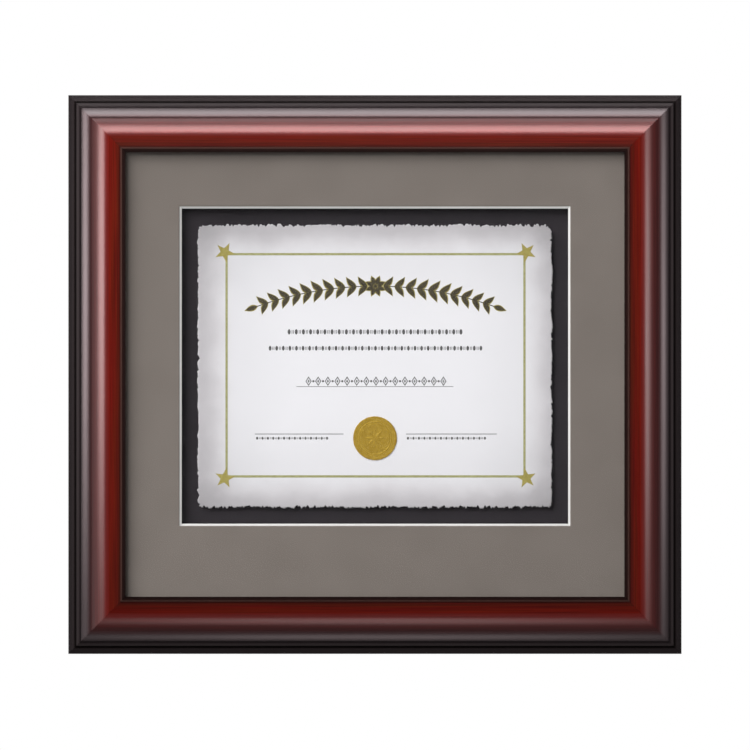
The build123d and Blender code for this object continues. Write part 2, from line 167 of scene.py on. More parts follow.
def math(made, operation, a, b=0.0, c=0.0):
    one = add(made, "Math", operation=operation)
    for socket, value in zip(one.inputs, (a, b, c)):
        put(made, socket, value)
    return one.outputs[0]


def span(made, value, low, high, to_low=0.0, to_high=1.0, smooth=False):
    """Value that runs from to_low to to_high while the given one runs from low to high."""
    one = add(made, "MapRange", interpolation_type="SMOOTHSTEP" if smooth else "LINEAR")
    for socket, given in zip(one.inputs, (value, low, high, to_low, to_high)):
        put(made, socket, given)
    return one.outputs[0]


def scaled(made, place, scale):
    return add(made, "Mapping", {"Vector": place, "Scale": scale}).outputs[0]


def coords(made, scale=(1, 1, 1)):
    return scaled(made, add(made, "TexCoord").outputs["Object"], scale)


def along_rail(made):
    """Coordinates of a rail: m along it, and its width's share of UV_WIDTH."""
    return add(made, "UVMap", uv_map="moulding").outputs[0]


def noise(made, vector, scale, detail=3.0, rough=0.5):
    given = {"Vector": vector, "Scale": scale, "Detail": detail, "Roughness": rough}
    return add(made, "TexNoise", given).outputs["Fac"]


def ramp(made, factor, stops, easing="LINEAR"):
    one = add(made, "ValToRGB", {"Fac": factor})
    line = one.color_ramp
    line.interpolation = easing
    while len(line.elements) < len(stops):
        line.elements.new(0.5)
    for element, (place, colour) in zip(line.elements, stops):
        element.position = place
        element.color = (*colour, 1)
    return one.outputs[0]


def tinted(made, factor, a, b):
    """Colour a multiplied by colour b, as far as factor says."""
    one = add(made, "Mix", data_type="RGBA", blend_type="MULTIPLY")
    for key, value in (("Factor_Float", factor), ("A_Color", a), ("B_Color", b)):
        put(made, next(s for s in one.inputs if s.identifier == key), value)
    return next(s for s in one.outputs if s.identifier == "Result_Color")


def bump(made, shader, height, strength, distance):
    given = {"Height": height, "Strength": strength, "Distance": distance}
    put(made, shader.inputs["Normal"], add(made, "Bump", given).outputs[0])


def surface(made, shader):
    put(made, made.node_tree.nodes["Material Output"].inputs["Surface"], shader.outputs[0])


# Materials of the rails: lacquer in bands across the moulding, and bare wood behind

UV_WIDTH = 50.0  # mm across the moulding to one unit of its coordinates
WHITE = (1.0, 1.0, 1.0)


def lacquer(name, stops, roughness, specular, grain, tint=WHITE, hue=0.0):
    """Lacquer over wood, its colour set by the place across the moulding in mm, with grain along the rail."""
    made, shader = material(name, (0.02, 0.01, 0.01), roughness, specular=specular)
    shader.inputs["Specular Tint"].default_value = (*tint, 1)
    place = along_rail(made)
    across = add(made, "SeparateXYZ", {"Vector": place}).outputs["Y"]
    colour = ramp(made, across, [(at / UV_WIDTH, value) for at, value in stops], "EASE")
    streak = noise(made, scaled(made, place, (14, 60, 1)), 1.0, detail=6.0, rough=0.6)
    pore = noise(made, scaled(made, place, (60, 900, 1)), 1.0, detail=2.0)
    brown = noise(made, scaled(made, place, (9, 22, 1)), 1.0, detail=2.0)
    shade = span(made, streak, 0.3, 0.7, 1 - grain, 1 + grain)
    shade = math(made, "MULTIPLY", shade, span(made, pore, 0.25, 0.5, 1 - 0.5 * grain, 1.0))
    green = math(made, "MULTIPLY", shade, span(made, brown, 0.3, 0.7, 1 - hue, 1 + hue))
    grey = add(made, "CombineColor", {"Red": shade, "Green": green, "Blue": shade}).outputs[0]
    put(made, shader.inputs["Base Color"], tinted(made, 1.0, colour, grey))
    put(made, shader.inputs["Roughness"], span(made, streak, 0.3, 0.7, roughness - 0.03, roughness + 0.03))
    bump(made, shader, noise(made, coords(made), 900.0, detail=2.0), strength=0.04, distance=0.0002)
    return made


# Black of the ledge, fillet and cove. The darker stops at 4.2–5.7 mm are painted shade at the groove's edges,
# and the darker stop at 8.0 mm is painted shade in the cove; the lighter stops at 6.2–7.2 mm are a painted
# highlight along the fillet's edge.
LEDGE_BLACK = [
    (0.0, (0.026, 0.021, 0.022)), (3.4, (0.022, 0.017, 0.018)), (4.2, (0.008, 0.005, 0.005)),
    (5.7, (0.007, 0.005, 0.005)), (6.2, (0.034, 0.027, 0.028)), (7.2, (0.032, 0.025, 0.026)),
    (8.0, (0.018, 0.013, 0.014)), (10.0, (0.022, 0.016, 0.017)),
]
BEAD_BLACK = [(9.5, (0.020, 0.014, 0.015)), (13.0, (0.018, 0.012, 0.013)), (15.3, (0.034, 0.012, 0.013))]
SIDE_BLACK = [(0.0, (0.028, 0.023, 0.024)), (UV_WIDTH, (0.028, 0.023, 0.024))]
# Red of the torus and slope, dark at the valley. The brighter stops at 27.0–29.5 mm are a painted highlight
# on the torus's shoulder and the top of the slope; from there it grows darker towards the lip.
RED = [
    (15.3, (0.036, 0.012, 0.013)), (17.5, (0.048, 0.0060, 0.0060)), (20.0, (0.064, 0.0050, 0.0045)),
    (23.5, (0.098, 0.0050, 0.0035)), (27.0, (0.142, 0.0050, 0.0030)), (29.5, (0.146, 0.0060, 0.0024)),
    (33.2, (0.120, 0.0062, 0.0024)), (35.6, (0.088, 0.0060, 0.0030)), (36.9, (0.056, 0.0045, 0.0035)),
]
# Dark brown of the groove, the mitre ends, the glue lines and the lip. Where it lines the groove its dark is
# painted shade; the lighter stops at 36.9–38.2 mm are a painted highlight along the lip bead.
DEEP_BROWN = [
    (0.0, (0.012, 0.009, 0.009)), (36.0, (0.012, 0.009, 0.009)), (36.9, (0.062, 0.018, 0.014)),
    (37.6, (0.080, 0.036, 0.030)), (38.2, (0.070, 0.036, 0.030)), (38.7, (0.024, 0.010, 0.009)),
    (40.7, (0.020, 0.011, 0.010)),
]


def bare_wood():
    """Pale unfinished wood: wavering growth lines along the rail, fibres and short dark pores."""
    made, shader = material("bare_wood", (0.42, 0.27, 0.14), 0.75, specular=0.3)
    place = along_rail(made)
    rings = noise(made, scaled(made, place, (4.5, 15, 1)), 1.0, detail=5.0, rough=0.62)
    fibre = noise(made, scaled(made, place, (30, 260, 1)), 1.0, detail=4.0, rough=0.6)
    pore = noise(made, scaled(made, place, (110, 700, 1)), 1.0, detail=2.0)
    tone = ramp(made, rings, [
        (0.30, (0.29, 0.168, 0.078)), (0.46, (0.42, 0.265, 0.135)), (0.70, (0.50, 0.335, 0.182))])
    dark = ramp(made, fibre, [(0.32, (0.74, 0.68, 0.62)), (0.55, WHITE)])
    specks = ramp(made, pore, [(0.26, (0.55, 0.48, 0.42)), (0.36, WHITE)])
    tone = tinted(made, 0.9, tone, dark)
    put(made, shader.inputs["Base Color"], tinted(made, 0.8, tone, specks))
    put(made, shader.inputs["Roughness"], span(made, fibre, 0.3, 0.7, 0.82, 0.68))
    bump(made, shader, fibre, strength=0.3, distance=0.0003)
    return made


LEDGE, BEAD, TORUS, BACK, DEEP, SLOPE, SIDE = range(7)
LEDGE_TINT, BEAD_TINT, SLOPE_TINT = (1.0, 0.92, 0.94), (1.0, 0.90, 0.92), (1.0, 0.85, 0.70)
# The crevice finish's dark base is painted shade in the groove, and dark glue in the mitres.
crevice = lacquer("crevice", DEEP_BROWN, roughness=0.8, specular=0.01, grain=0.10)
rail_finishes = {
    LEDGE: lacquer("black_matte", LEDGE_BLACK, roughness=0.60, specular=0.03, grain=0.15, tint=LEDGE_TINT),
    BEAD: lacquer("black_lacquer", BEAD_BLACK, roughness=0.34, specular=0.125, grain=0.15, tint=BEAD_TINT),
    TORUS: lacquer("red_lacquer", RED, roughness=0.34, specular=0.125, grain=0.26),
    BACK: bare_wood(),
    DEEP: crevice,
    SLOPE: lacquer("red_slope", RED, roughness=0.40, specular=0.08, grain=0.42, tint=SLOPE_TINT, hue=0.45),
    SIDE: lacquer("black_side", SIDE_BLACK, roughness=0.7, specular=0.0, grain=0.30),
}


# Materials of the boards, the hardware and the certificate

def speckled(name, dark, pale, roughness, scale, specular=0.2, relief=0.2, depth=0.0002):
    """Fibrous sheet goods: two close tones in fine noise over a slow drift, with a nap."""
    made, shader = material(name, pale, roughness, specular=specular)
    fine = noise(made, coords(made), scale, detail=4.0, rough=0.65)
    slow = noise(made, coords(made), 35.0)
    mixed = math(made, "ADD", math(made, "MULTIPLY", fine, 0.75), math(made, "MULTIPLY", slow, 0.25))
    put(made, shader.inputs["Base Color"], ramp(made, mixed, [(0.36, dark), (0.64, pale)]))
    bump(made, shader, fine, relief, depth)
    return made


suede = speckled("taupe_suede", (0.184, 0.159, 0.141), (0.228, 0.199, 0.178), roughness=0.95, scale=1500.0,
                 specular=0.03, relief=0.35, depth=0.0003)
mat_core_white = speckled("mat_core_white", (0.63, 0.62, 0.605), (0.72, 0.71, 0.70), roughness=0.9,
                          scale=2500.0, specular=0.1)
float_black = speckled("float_black", (0.0200, 0.0165, 0.0200), (0.0300, 0.0250, 0.0300), roughness=0.85,
                       scale=1800.0, specular=0.15)
foam_black = speckled("foam_black", (0.012, 0.012, 0.013), (0.028, 0.028, 0.030), roughness=0.9, scale=1200.0)
foam_white = speckled("foam_white", (0.66, 0.65, 0.62), (0.80, 0.79, 0.76), roughness=0.9, scale=1200.0)
hinge_tissue = speckled("hinge_tissue", (0.68, 0.64, 0.55), (0.82, 0.79, 0.70), roughness=0.95, scale=700.0,
                        specular=0.1)
rubber = speckled("bumper_rubber", (0.016, 0.016, 0.017), (0.032, 0.032, 0.033), roughness=0.65, scale=1500.0,
                  specular=0.4)


def hardboard():
    made, shader = material("hardboard", (0.25, 0.15, 0.08), 0.6, specular=0.3)
    fine = noise(made, coords(made), 900.0, detail=5.0, rough=0.7)
    chip = add(made, "TexVoronoi", {"Vector": coords(made, (1, 1, 0.35)), "Scale": 420.0}).outputs["Distance"]
    slow = noise(made, coords(made), 14.0)
    tone = ramp(made, fine, [
        (0.3, (0.155, 0.083, 0.040)), (0.5, (0.245, 0.145, 0.078)), (0.7, (0.330, 0.210, 0.122))])
    cloud = ramp(made, slow, [(0.3, (0.80, 0.78, 0.76)), (0.7, WHITE)])
    put(made, shader.inputs["Base Color"], tinted(made, 1.0, tone, cloud))
    put(made, shader.inputs["Roughness"], span(made, chip, 0.0, 0.8, 0.5, 0.72))
    bump(made, shader, fine, strength=0.2, distance=0.0002)
    return made


def metal(name, dark, pale, roughness, scale):
    """Plated sheet metal: soft patches of the plating and fine handling scratches."""
    made, shader = material(name, pale, roughness, metallic=1.0)
    patch = noise(made, coords(made), scale, detail=4.0, rough=0.6)
    scratch = noise(made, coords(made, (1, 1, 14)), 900.0, detail=2.0)
    put(made, shader.inputs["Base Color"], ramp(made, patch, [(0.3, dark), (0.7, pale)]))
    put(made, shader.inputs["Roughness"], span(made, patch, 0.3, 0.7, roughness - 0.06, roughness + 0.08))
    bump(made, shader, scratch, strength=0.08, distance=0.0001)
    return made


zinc = metal("zinc_plate", (0.285, 0.290, 0.292), (0.375, 0.383, 0.390), roughness=0.36, scale=110.0)
nail_steel = metal("nail_steel", (0.22, 0.22, 0.23), (0.40, 0.41, 0.42), roughness=0.40, scale=300.0)
gold_foil = metal("gold_foil", (0.275, 0.172, 0.021), (0.350, 0.236, 0.038), roughness=0.40, scale=500.0)


def paper():
    """Handmade sheet: bright in the middle, shaded and mottled towards its torn edge and corners."""
    made, shader = material("handmade_paper", (0.87, 0.862, 0.89), 0.92, specular=0.1)
    bright_x, bright_z = 2.5, WINDOW_Z  # middle of the brightest part, in mm
    place = add(made, "SeparateXYZ", {"Vector": coords(made)})
    x = math(made, "SUBTRACT", place.outputs["X"], bright_x * MM)
    z = math(made, "SUBTRACT", place.outputs["Z"], bright_z * MM)
    slow = noise(made, coords(made), 40.0, detail=4.0, rough=0.6)
    mottle = noise(made, coords(made), 170.0, detail=4.0, rough=0.65)
    fibre = noise(made, coords(made), 1600.0, rough=0.6)
    wander = math(made, "MULTIPLY", math(made, "SUBTRACT", slow, 0.5), 0.014)
    sides, middles = [], []
    for along, half in ((x, CERTIFICATE_WIDTH / 2), (z, CERTIFICATE_HEIGHT / 2)):
        inside = math(made, "SUBTRACT", half * MM, math(made, "ABSOLUTE", along))
        inside = math(made, "ADD", inside, wander)
        sides.append(span(made, inside, 0.0, 0.026, smooth=True))
        middles.append(span(made, inside, 0.015, 0.075, smooth=True))
    across, upward = span(made, sides[0], 0, 1, 0.66, 1.0), span(made, sides[1], 0, 1, 0.62, 1.0)
    both = math(made, "MULTIPLY", across, upward)
    edge = ramp(made, both, [(0.40, (0.470, 0.449, 0.466)), (0.66, (0.600, 0.578, 0.600)),
                             (0.85, (0.775, 0.755, 0.780)), (1.0, (0.868, 0.860, 0.890))])
    cloud = span(made, mottle, 0.3, 0.7, 0.95, 1.02)
    soft = math(made, "MULTIPLY", cloud, span(made, fibre, 0.3, 0.7, 0.985, 1.015))
    soft = math(made, "POWER", soft, span(made, both, 0.5, 1.0, 1.0, 0.12))
    soft = math(made, "MULTIPLY", soft, span(made, math(made, "MINIMUM", *middles), 0, 1, 0.93, 1.0))
    corner = math(made, "MULTIPLY", *[math(made, "SUBTRACT", 1.0, one) for one in middles])
    soft = math(made, "MULTIPLY", soft, math(made, "MULTIPLY_ADD", corner, -0.11, 1.0))
    grey = add(made, "CombineColor", {"Red": soft, "Green": soft, "Blue": soft}).outputs[0]
    put(made, shader.inputs["Base Color"], tinted(made, 1.0, edge, grey))
    bump(made, shader, math(made, "ADD", mottle, fibre), strength=0.15, distance=0.0002)
    return made


def ink(name, dark, pale, roughness, metallic):
    made, shader = material(name, pale, roughness, metallic, specular=0.3)
    fine = noise(made, coords(made), 900.0)
    put(made, shader.inputs["Base Color"], ramp(made, fine, [(0.35, dark), (0.65, pale)]))
    bump(made, shader, fine, strength=0.1, distance=0.0001)
    return made


gold_ink = ink("gold_ink", (0.285, 0.238, 0.058), (0.390, 0.335, 0.098), roughness=0.5, metallic=0.15)
border_ink = ink("border_ink", (0.300, 0.295, 0.125), (0.395, 0.390, 0.185), roughness=0.5, metallic=0.1)
olive_ink = ink("olive_ink", (0.030, 0.024, 0.012), (0.062, 0.050, 0.026), roughness=0.6, metallic=0.0)
grey_ink = ink("grey_ink", (0.075, 0.073, 0.074), (0.125, 0.122, 0.124), roughness=0.7, metallic=0.0)


def glass():
    """Anti-reflection picture glass: clear, with a faint mirror that grows at low angles."""
    made, shader = material("picture_glass", (0.96, 1.0, 0.98), 0.03, metallic=1.0)
    clear = add(made, "BsdfTransparent", {"Color": (0.995, 0.995, 0.995, 1)})
    facing = add(made, "LayerWeight", {"Blend": 0.5}).outputs["Facing"]
    share = math(made, "MULTIPLY_ADD", math(made, "POWER", facing, 5.0), 0.5, 0.003)
    smear = noise(made, coords(made), 9.0, detail=4.0)
    put(made, shader.inputs["Roughness"], span(made, smear, 0.35, 0.7, 0.02, 0.06))
    surface(made, add(made, "MixShader", {0: share, 1: clear.outputs[0], 2: shader.outputs[0]}))
    return made


# Mesh helpers

def linked(name, data):
    obj = bpy.data.objects.new(name, data)
    bpy.context.collection.objects.link(obj)
    return obj


def show(name, data, body, sharp):
    """Piece of a mesh that rides on a body, smooth but for edges that turn by more than sharp degrees."""
    data.polygons.foreach_set("use_smooth", [True] * len(data.polygons))
    data.set_sharp_from_angle(angle=radians(sharp))
    obj = linked(name, data)
    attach(obj, body)
    return obj


def piece(name, points, faces, materials, body="frame", sharp=32.0, indices=None):
    """Piece from points in mm and faces, with a material for each face if indices say so."""
    data = bpy.data.meshes.new(name)
    data.from_pydata([Vector(p) * MM for p in points], [], faces)
    for one in materials:
        data.materials.append(one)
    if indices:
        data.polygons.foreach_set("material_index", indices)
    made = bmesh.new()
    made.from_mesh(data)
    bmesh.ops.recalc_face_normals(made, faces=made.faces)
    made.to_mesh(data)
    made.free()
    return show(name, data, body, sharp)


def between(first, second, count):
    """Faces between two closed loops of points, given by the number of each loop's first point."""
    faces = []
    for k in range(count):
        n = (k + 1) % count
        faces.append((first + k, first + n, second + n, second + k))
    return faces


def cap(first, count):
    return tuple(range(first, first + count))


def lean_arc(centre, radius, start, end, step):
    """Points of a round of the moulding, from one lean towards the sight edge to another, in degrees."""
    count = max(2, int(abs(end - start) / step) + 1)
    leans = [radians(start + (end - start) * k / count) for k in range(count + 1)]
    return [(centre[0] + radius * sin(t), centre[1] + radius * cos(t)) for t in leans]


def sagged(a, b, height, count=10):
    """Points of a shallow arc from a to b that rises by height to the left of its run."""
    run = Vector(b) - Vector(a)
    half = run.length / 2
    radius = (half * half + height * height) / (2 * abs(height))
    side = Vector((-run.y, run.x)).normalized() * (1 if height > 0 else -1)
    centre = (Vector(a) + Vector(b)) / 2 + side * (abs(height) - radius)
    start = atan2(a[1] - centre.y, a[0] - centre.x)
    turn = 2 * asin(half / radius) * (-1 if height > 0 else 1)
    angles = [start + turn * k / count for k in range(count + 1)]
    return [(centre.x + radius * cos(t), centre.y + radius * sin(t)) for t in angles]


# Rails: the moulding's section, run along each side and mitred

def moulding():
    """Section as (u, h, finish of the run that follows): u from the outer edge, h forward from the back."""
    fillet_outer = LEDGE_WIDTH + GROOVE_WIDTH
    cove_outer = fillet_outer + FILLET_WIDTH
    bead_outer = cove_outer + COVE_WIDTH
    bead_crest = bead_outer + BEAD_OUTER_REACH
    bead_inner = bead_crest + BEAD_INNER_REACH
    valley = bead_inner + QUIRK_WIDTH
    torus_crest = valley + TORUS_REACH
    slope_outer = torus_crest + SHOULDER_RADIUS * sin(radians(SLOPE_ANGLE))
    lip_bead_inner = MOULDING_WIDTH - LIP_BEVEL_WIDTH
    lip_bead_outer = lip_bead_inner - LIP_BEAD_WIDTH

    sight_front = RABBET_DEPTH + SIGHT_EDGE
    lip_front = sight_front + LIP_BEVEL_RISE
    slope_front = lip_front + (lip_bead_outer - slope_outer) * tan(radians(SLOPE_ANGLE))
    torus_front = slope_front + SHOULDER_RADIUS * (1 - cos(radians(SLOPE_ANGLE)))
    valley_lean = asin(TORUS_REACH / TORUS_RADIUS)
    valley_front = torus_front - TORUS_RADIUS * (1 - cos(valley_lean))
    inner_lean = asin(BEAD_INNER_REACH / BEAD_RADIUS)
    outer_lean = asin(BEAD_OUTER_REACH / BEAD_RADIUS)
    bead_inner_front = valley_front + QUIRK_DROP
    bead_front = bead_inner_front + BEAD_RADIUS * (1 - cos(inner_lean))
    cove_front = bead_front - BEAD_RADIUS * (1 - cos(outer_lean))
    fillet_front = cove_front - COVE_HEIGHT
    groove_front = fillet_front - GROOVE_DEPTH
    ledge_front = groove_front + LEDGE_RISE
    edge_front = ledge_front - LEDGE_FALL

    section = []

    def run(points, finish):
        for u, h in points:
            if not section or hypot(section[-1][0] - u, section[-1][1] - h) > 1e-3:
                section.append([u, h, finish])
            section[-1][2] = finish

    edge_middle = (LEDGE_ROUND, edge_front - LEDGE_ROUND)
    fillet_middle = (fillet_outer + FILLET_ROUND, fillet_front - FILLET_ROUND)
    run([(0.0, BACK_GAP), (0.0, edge_middle[1])], SIDE)
    run(lean_arc(edge_middle, LEDGE_ROUND, -90, 0, step=9), LEDGE)
    run(sagged((LEDGE_ROUND, edge_front), (LEDGE_WIDTH, ledge_front), LEDGE_CROWN), LEDGE)
    # The groove's faces take the crevice finish: painted shade.
    run([(LEDGE_WIDTH, ledge_front), (LEDGE_WIDTH, groove_front)], DEEP)
    run([(fillet_outer, groove_front), (fillet_outer, fillet_middle[1])], DEEP)
    run(lean_arc(fillet_middle, FILLET_ROUND, -90, 0, step=12), LEDGE)
    run(sagged((cove_outer, fillet_front), (bead_outer, cove_front), -COVE_HOLLOW), LEDGE)
    bead_leans = (-degrees(outer_lean), degrees(inner_lean))
    run(lean_arc((bead_crest, bead_front - BEAD_RADIUS), BEAD_RADIUS, *bead_leans, step=1.0), BEAD)
    run([(bead_inner, bead_inner_front), (valley, valley_front)], TORUS)
    torus_middle = (torus_crest, torus_front - TORUS_RADIUS)
    run(lean_arc(torus_middle, TORUS_RADIUS, -degrees(valley_lean), 0, step=1.0), TORUS)
    shoulder_middle = (torus_crest, torus_front - SHOULDER_RADIUS)
    run(lean_arc(shoulder_middle, SHOULDER_RADIUS, 0, SLOPE_ANGLE, step=1.0), TORUS)
    section[-1][2] = SLOPE
    # The lip bead takes the crevice finish, with a painted highlight along it.
    run(sagged((lip_bead_outer, lip_front), (lip_bead_inner, lip_front), LIP_BEAD_CROWN), DEEP)
    run([(MOULDING_WIDTH, sight_front)], DEEP)
    run([(MOULDING_WIDTH, RABBET_DEPTH), (BACK_FACE_WIDTH, RABBET_DEPTH), (BACK_FACE_WIDTH, BACK_GAP)], BACK)
    return section


def rail(side, length, half_span, place, number):
    """Rail of one side; place turns lengths along it, out from the middle and in depth into a point."""
    section = moulding()
    count = len(section)
    points = []
    for end in (-1, 1):
        for u, h, _ in section:
            points.append(place(end * (length / 2 - u - MITRE_GAP), half_span - u, BACK_Y - h))
    faces = between(0, count, count) + [cap(0, count), cap(count, count)]
    finishes = [finish for _, _, finish in section] + [DEEP, DEEP]
    name = side + "_rail"
    made = piece(name + "_moulding", points, faces, list(rail_finishes.values()),
                 sharp=24.0, indices=finishes)
    layer = made.data.uv_layers.new(name="moulding")
    apart = 1.7 * number  # m, so that no two rails have the same grain
    for loop in made.data.loops:
        u = section[loop.vertex_index % count][0]
        along = (1 if loop.vertex_index >= count else -1) * (length / 2 - u) * MM
        layer.data[loop.index].uv = (along + apart, u / UV_WIDTH)
    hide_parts(name)
    return made


rails = {
    "bottom": rail("bottom", FRAME_WIDTH, FRAME_HEIGHT / 2, lambda a, r, y: (a, y, -r), 1),
    "left": rail("left", FRAME_HEIGHT, FRAME_WIDTH / 2, lambda a, r, y: (-r, y, a), 2),
    "top": rail("top", FRAME_WIDTH, FRAME_HEIGHT / 2, lambda a, r, y: (a, y, r), 3),
    "right": rail("right", FRAME_HEIGHT, FRAME_WIDTH / 2, lambda a, r, y: (r, y, a), 4),
}


def glue_line(name, right, up):
    """Dark line of glue in a mitre, a little below the moulding's faces."""
    back, lip = GLUE_INSET + BACK_GAP, RABBET_DEPTH + GLUE_INSET
    rabbet, sight = BACK_FACE_WIDTH - back, MOULDING_WIDTH - GLUE_INSET
    outline = [(GLUE_INSET, back)]
    for u, h, _ in moulding():
        if h > RABBET_DEPTH:
            outline.append((min(sight, max(GLUE_INSET, u)), h - GLUE_INSET))
    outline += [(sight, lip), (rabbet, lip), (rabbet, back)]
    count = len(outline)
    points = []
    for shift in (-GLUE_THICKNESS / 2, GLUE_THICKNESS / 2):
        for u, h in outline:
            x, z = FRAME_WIDTH / 2 - u + shift, FRAME_HEIGHT / 2 - u - shift
            points.append((right * x, BACK_Y - h, up * z))
    faces = between(0, count, count) + [cap(0, count), cap(count, count)]
    piece("glue_" + name, points, faces, [crevice])


for up, level in ((1, "top"), (-1, "bottom")):
    for right, side in ((-1, "left"), (1, "right")):
        glue_line(level + "_" + side, right, up)


# Certificate: torn edge, feathered to the front

EDGE_POINTS = 3600
TEAR_WAVES = (  # shortest and longest wave, its size, and how many
    ((30, 75), 0.18, 5),
    ((9, 26), 0.17, 7),
    ((3.5, 8), 0.26, 9),
    ((1.6, 3.2), 0.22, 11),
)
FINE_WAVE = 9  # waves shorter than this, and teeth, follow the edge's roughness
WAVE_SPREAD = (0.7, 1.3)  # least and most, as a share of a wave's size
TEETH = 420
TOOTH_WIDTHS, TOOTH_DEPTHS = (0.5, 1.6), (-0.55, 0.65)  # least and most
LEVEL_TEAR = (1.05, 1.4)  # along the top and bottom: mean depth, and roughness
UPRIGHT_TEAR = (0.75, 0.7)  # likewise along the sides
LEAST_TEAR, DEEPEST_TEAR = 0.02, 2.3
FEATHER = 2.6  # the tear dies out this far inside the full size
FEATHER_LOOPS = ((0.0, 0.34), (0.25, 0.16), (0.9, 0.0), (FEATHER, 0.0))  # inset, and depth below the face
BACK_INSET = 0.12  # the back's edge inside the front's


def sheet_outline(count):
    """Rounded sheet, clockwise, as (x, z, inward x, inward z, distance run), and its length."""
    half_width, half_height = CERTIFICATE_WIDTH / 2, CERTIFICATE_HEIGHT / 2
    corners = list(CERTIFICATE_CORNERS.items())
    runs = []
    for k, (dx, dz) in enumerate(((1, 0), (0, -1), (-1, 0), (0, 1))):
        (last_x, last_z), last_round = corners[k - 1]
        (side_x, side_z), corner = corners[k]
        begin = (last_x * half_width + dx * last_round, last_z * half_height + dz * last_round)
        full = 2 * (half_width if dx else half_height)
        runs.append((full - last_round - corner, begin, (dx, dz), 0.0))
        centre = (side_x * (half_width - corner), side_z * (half_height - corner))
        runs.append((pi * corner / 2, centre, (dx, dz), corner))
    total = sum(length for length, *_ in runs)
    out = []
    for k in range(count):
        at = rest = total * k / count
        for length, begin, (dx, dz), corner in runs:
            if rest <= length:
                break
            rest -= length
        turn = rest / corner if corner else 0.0
        out_x, out_z = dx * sin(turn) - dz * cos(turn), dz * sin(turn) + dx * cos(turn)
        run = 0.0 if corner else rest
        x, z = begin[0] + dx * run + corner * out_x, begin[1] + dz * run + corner * out_z
        out.append((x, z, -out_x, -out_z, at))
    return out, total


def torn_edge(outline, total):
    """How far the tear lies inside the full size at each point: waves, and small teeth."""
    waves = []
    for lengths, share, many in TEAR_WAVES:
        for _ in range(many):
            times = max(3, round(total / random.uniform(*lengths)))
            size = share * sqrt(2 / many) * random.uniform(*WAVE_SPREAD)
            waves.append((times, random.uniform(0, 2 * pi), size, lengths[1] < FINE_WAVE))
    teeth = {}
    for _ in range(TEETH):
        at = random.uniform(0, total)
        width, depth = random.uniform(*TOOTH_WIDTHS), random.uniform(*TOOTH_DEPTHS)
        for k in range(int(at - width) - 1, int(at + width) + 2):
            teeth.setdefault(k, []).append((at, width, depth))
    torn = []
    for _, _, inward_x, inward_z, at in outline:
        depth, rough = LEVEL_TEAR if abs(inward_z) > abs(inward_x) else UPRIGHT_TEAR
        for times, phase, size, fine in waves:
            depth += size * (rough if fine else 1.0) * sin(2 * pi * times * at / total + phase)
        for place, width, size in teeth.get(int(at), ()):
            depth += rough * size * max(0.0, 1 - abs(at - place) / width)
        torn.append(min(DEEPEST_TEAR, max(LEAST_TEAR, depth)))
    return torn


def certificate():
    outline, total = sheet_outline(EDGE_POINTS)
    torn = torn_edge(outline, total)
    loops = [(1 - inset / FEATHER, inset, drop) for inset, drop in FEATHER_LOOPS]
    loops.append((1.0, BACK_INSET, CERTIFICATE_THICKNESS))
    points, faces = [], []
    for share, inset, drop in loops:
        for (x, z, inward_x, inward_z, _), tear in zip(outline, torn):
            pull = share * tear + inset
            points.append((x + inward_x * pull, SHEET_FRONT + drop, z + inward_z * pull + WINDOW_Z))
    front, back = len(FEATHER_LOOPS) - 1, len(FEATHER_LOOPS)
    for ring, inner in [(k, k + 1) for k in range(front)] + [(back, 0)]:
        faces += between(ring * EDGE_POINTS, inner * EDGE_POINTS, EDGE_POINTS)
    faces += [cap(loop * EDGE_POINTS, EDGE_POINTS) for loop in (front, back)]
    made = piece("certificate_sheet", points, faces, [paper()], sharp=12.0)
    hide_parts("certificate")


certificate()


# Printing on the certificate, as thin raised ink: places in pixels of the photograph, sizes in mm

LEVEL_STEP = 0.003  # between the heights of shapes that overlap
BORDER_LEFT_TOP, BORDER_RIGHT_BOTTOM = (226.4, 254.0), (524.6, 476.5)
BORDER_WIDTH = 1.64
STAR_OFFSET, STAR_RADIUS, STAR_WAIST = 1.8, 7.5, 3.1
RULES = (  # left end, right end and height; the rule's width
    ((296.3, 453.5, 386.6), 0.36),
    ((254.7, 343.5, 434.1), 0.5),
    ((406, 497, 434.1), 0.5),
)
BEAD_ROWS = (  # likewise; the beads' height; how many beads and gaps
    ((289, 461, 331.8), 3.8, 49),
    ((270, 481, 348.2), 3.4, 65),
    ((257, 327, 438.3), 2.0, 27),
    ((408, 485, 438.3), 2.0, 29),
)
NAME_ROW = (308.5, 443.5, 381.2)
NAME_SHAPES = 29
NAME_BEAD = 0.8  # half its width
NAME_LOZENGE = (2.2, 3.4)  # half width and half height
NAME_LOZENGE_BAR = 0.6
NAME_CORE = (0.75, 1.2)  # half width and half height
ARCH_LEFT, ARCH_RIGHT, ARCH_TOP = (255, 307), (496, 307), (375, 286)
LAUREL_PAIRS = 10
LAUREL_START = 0.72  # steps from the arch's middle to the first pair
LAUREL_STEPS = LAUREL_PAIRS + 0.9  # and to its end
LAUREL_FORK = 47  # degrees between a leaf and its stem
STEM_WIDTH = 0.64
SIDE_LEAF, SIDE_GOLD = (10.4, 3.7), (11.7, 4.9)  # length and width of a leaf and of the gold below it
END_LEAF, END_GOLD = (9.0, 3.3), (10.4, 4.5)
PETAL, PETAL_GOLD = (6.2, 3.0), (7.4, 4.0)
PETALS = 8
PETAL_FOOT = 1.2  # from the rosette's middle


